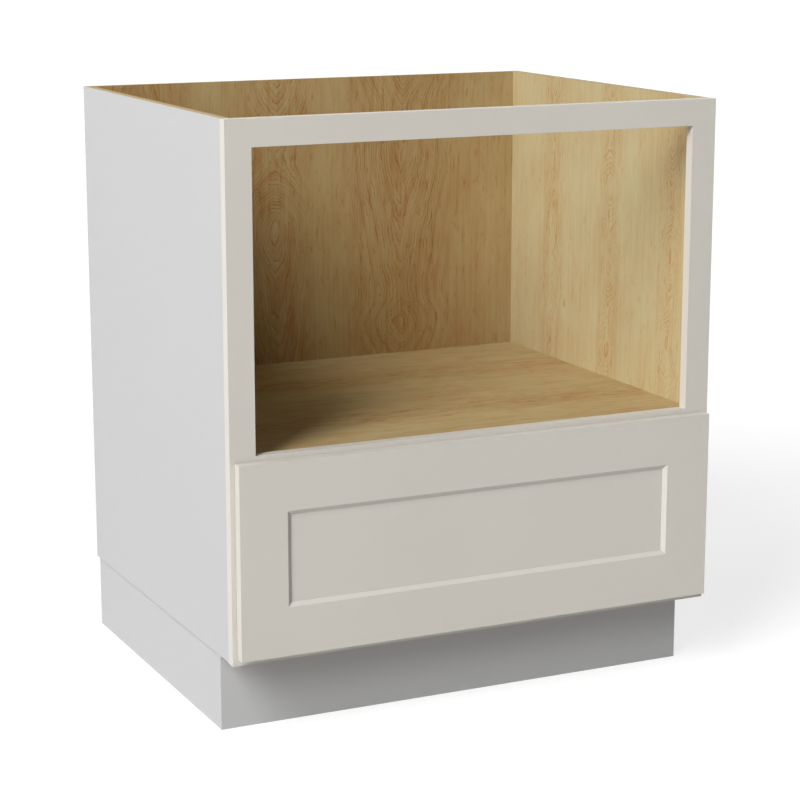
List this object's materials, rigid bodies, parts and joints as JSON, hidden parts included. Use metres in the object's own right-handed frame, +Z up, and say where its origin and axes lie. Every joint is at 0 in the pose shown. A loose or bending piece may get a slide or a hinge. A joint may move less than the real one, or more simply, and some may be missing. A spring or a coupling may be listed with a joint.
{
  "type": "microwave cabinet",
  "caption": "Framed base cabinet with an open microwave bay, one full-overlay drawer with a bevelled framed front on ball-bearing slides, and a recessed plinth.",
  "frame": {"origin": "on the floor, under the middle of the whole cabinet's box", "axes": "+X to the right, seen from the front; +Y to the wall; +Z up"},
  "size_m": [0.762, 0.6204, 0.8668],
  "materials": {
    "painted_frame": "warm light greige paint, satin",
    "grey_laminate": "smooth light grey laminate, satin",
    "maple_panel": "maple veneer with cathedral grain, clear satin lacquer",
    "maple_board": "solid maple, clear satin lacquer",
    "slide_steel": "zinc-plated rolled steel",
    "cage_steel": "thin plain strip steel",
    "ball_steel": "polished bearing steel",
    "screw_zinc": "zinc-plated screw steel",
    "bumper_clear": "soft translucent bumper"
  },
  "bodies": {
    "cabinet": {"side_panel_left": "grey_laminate", "side_panel_right": "grey_laminate", "back_panel": "maple_panel", "bay_deck": "maple_panel", "cabinet_bottom": "maple_panel", "frame_stile_left": "painted_frame", "frame_stile_right": "painted_frame", "frame_top_rail": "painted_frame", "frame_mid_rail": "painted_frame", "frame_bottom_rail": "painted_frame", "frame_pocket_screws": "screw_zinc", "plinth_front": "grey_laminate", "plinth_back": "grey_laminate", "plinth_side_left": "grey_laminate", "plinth_side_right": "grey_laminate", "plinth_brace": "grey_laminate", "plinth_screws": "screw_zinc", "runner_cleat_left": "maple_board", "runner_cleat_right": "maple_board", "slide_outer_left": "slide_steel", "slide_outer_right": "slide_steel", "slide_outer_screws": "screw_zinc"},
    "drawer": {"drawer_side_left": "maple_board", "drawer_side_right": "maple_board", "drawer_box_front": "maple_board", "drawer_box_back": "maple_board", "drawer_bottom": "maple_panel", "slide_inner_left": "slide_steel", "slide_inner_right": "slide_steel", "slide_inner_screws": "screw_zinc", "front_stile_left": "painted_frame", "front_stile_right": "painted_frame", "front_rail_top": "painted_frame", "front_rail_bottom": "painted_frame", "front_panel": "painted_frame", "front_screws": "screw_zinc", "front_bumpers": "bumper_clear"},
    "middle_member_left": {"slide_middle_left": "slide_steel"},
    "outer_cage_left": {"outer_cage_left": "cage_steel", "outer_balls_left": "ball_steel"},
    "inner_cage_left": {"inner_cage_left": "cage_steel", "inner_balls_left": "ball_steel"},
    "middle_member_right": {"slide_middle_right": "slide_steel"},
    "outer_cage_right": {"outer_cage_right": "cage_steel", "outer_balls_right": "ball_steel"},
    "inner_cage_right": {"inner_cage_right": "cage_steel", "inner_balls_right": "ball_steel"}
  },
  "joints": [
    {"name": "drawer_slide", "type": "slide", "parent": "cabinet", "child": "drawer", "axis": [0, -1, 0], "range_m": [0, 0.55]},
    {"name": "middle_member_left_slide", "type": "slide", "parent": "cabinet", "child": "middle_member_left", "axis": [0, -1, 0], "range_m": [0, 0.275]},
    {"name": "outer_cage_left_slide", "type": "slide", "parent": "cabinet", "child": "outer_cage_left", "axis": [0, -1, 0], "range_m": [0, 0.1375]},
    {"name": "inner_cage_left_slide", "type": "slide", "parent": "cabinet", "child": "inner_cage_left", "axis": [0, -1, 0], "range_m": [0, 0.4125]},
    {"name": "middle_member_right_slide", "type": "slide", "parent": "cabinet", "child": "middle_member_right", "axis": [0, -1, 0], "range_m": [0, 0.275]},
    {"name": "outer_cage_right_slide", "type": "slide", "parent": "cabinet", "child": "outer_cage_right", "axis": [0, -1, 0], "range_m": [0, 0.1375]},
    {"name": "inner_cage_right_slide", "type": "slide", "parent": "cabinet", "child": "inner_cage_right", "axis": [0, -1, 0], "range_m": [0, 0.4125]}
  ],
  "couplings": [
    {"joint": "middle_member_left_slide", "follows": "drawer_slide", "ratio": 0.5},
    {"joint": "outer_cage_left_slide", "follows": "drawer_slide", "ratio": 0.25},
    {"joint": "inner_cage_left_slide", "follows": "drawer_slide", "ratio": 0.75},
    {"joint": "middle_member_right_slide", "follows": "drawer_slide", "ratio": 0.5},
    {"joint": "outer_cage_right_slide", "follows": "drawer_slide", "ratio": 0.25},
    {"joint": "inner_cage_right_slide", "follows": "drawer_slide", "ratio": 0.75}
  ]
}
